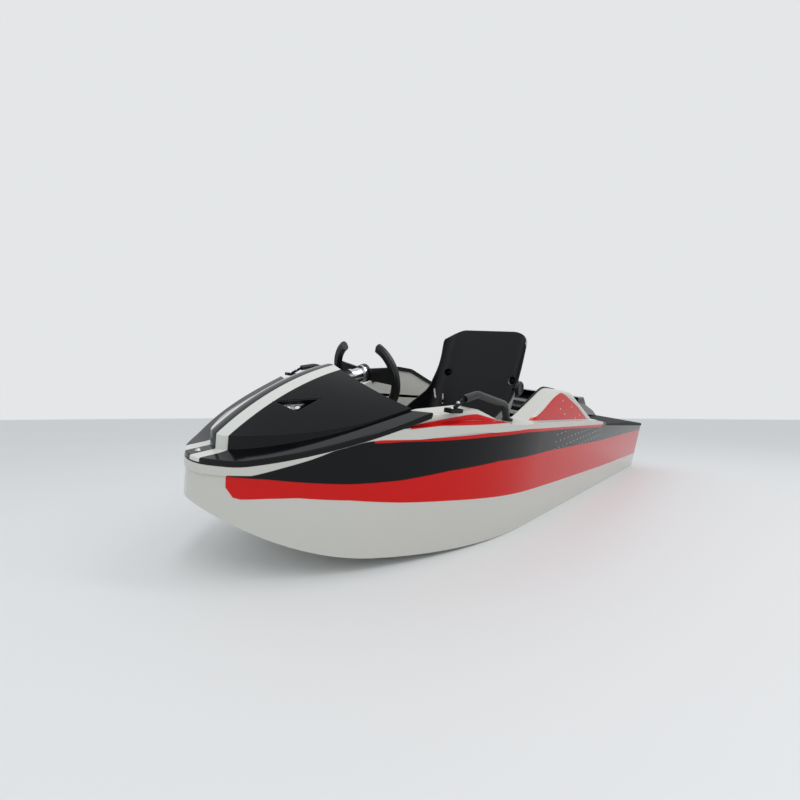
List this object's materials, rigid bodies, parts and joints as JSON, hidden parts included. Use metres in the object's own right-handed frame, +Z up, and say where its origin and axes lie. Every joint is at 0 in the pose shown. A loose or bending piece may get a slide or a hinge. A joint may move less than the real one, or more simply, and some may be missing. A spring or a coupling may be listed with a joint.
{
  "type": "one-seat jet boat",
  "caption": "Sit-in personal watercraft with a V bottom, nose cowl, kart seat, butterfly steering wheel, engine hood and jet drive.",
  "frame": {"origin": "middle of the bounding box, on the floor the boat lies on", "axes": "+X to the bow, +Z up from the floor; the boat leans 11 degrees to port onto its port bottom panel"},
  "size_m": [2.503, 0.8878, 0.7259],
  "materials": {
    "gelcoat_hull": "gloss gelcoat on glassfibre",
    "gelcoat_white": "gloss gelcoat on glassfibre",
    "gelcoat_black": "gloss gelcoat on glassfibre",
    "deck_black": "non-slip deck",
    "rubber": "extruded rubber",
    "lamp": "moulded reflector",
    "seat_shell": "moulded seat shell",
    "aluminium": "machined",
    "stainless": "polished stainless",
    "handle": "moulded grip",
    "wheel_black": "moulded grip",
    "engine": "cast block",
    "engine_bearer": "glassed bearer"
  },
  "bodies": {
    "boat": {"hull": "gelcoat_hull", "deck": "gelcoat_white", "edge_trim": "rubber", "aft_deck": "deck_black", "hatch_seal": "rubber", "hood_hinges": "stainless", "cowl": "gelcoat_black", "cowl_gasket": "rubber", "lamp_port": "lamp", "lamp_starboard": "lamp", "seat": "seat_shell", "seat_rails": "aluminium", "foot_rest": "deck_black", "throttle_pedal": "aluminium", "column_bracket": "aluminium", "handle_port": "handle", "handle_starboard": "handle", "handle_foot_port": "stainless", "handle_foot_starboard": "stainless", "pump_housing": "aluminium", "ride_plate": "aluminium", "intake_grate": "aluminium", "intake_duct": "gelcoat_white", "engine": "engine", "engine_bearers": "engine_bearer"},
    "steering": {"steering_wheel": "wheel_black", "steering_boss": "aluminium", "steering_column": "stainless"},
    "nozzle": {"steering_nozzle": "aluminium"},
    "impeller": {"impeller": "stainless"},
    "hood": {"engine_hood": "gelcoat_black", "hood_scoop": "gelcoat_black"}
  },
  "joints": [
    {"name": "steering_turn", "type": "hinge", "parent": "boat", "child": "steering", "pos_m": [0.7935, 0.04151, 0.46627], "axis": [-0.9397, 0.0653, 0.3357], "range_deg": [-60, 60]},
    {"name": "nozzle_yaw", "type": "hinge", "parent": "boat", "child": "nozzle", "pos_m": [-1.1735, -0.02776, 0.10994], "axis": [0, 0.1908, 0.9816], "range_deg": [-21, 21]},
    {"name": "impeller_spin", "type": "hinge", "parent": "boat", "child": "impeller", "pos_m": [-1.0615, -0.02776, 0.10994], "axis": [-1, 0, 0], "continuous": true},
    {"name": "hood_hinge", "type": "hinge", "parent": "boat", "child": "hood", "pos_m": [-0.8195, 0.02662, 0.38971], "axis": [0, -0.9816, 0.1908], "range_deg": [0, 65]}
  ],
  "couplings": [
    {"joint": "nozzle_yaw", "follows": "steering_turn", "ratio": -0.35}
  ]
}
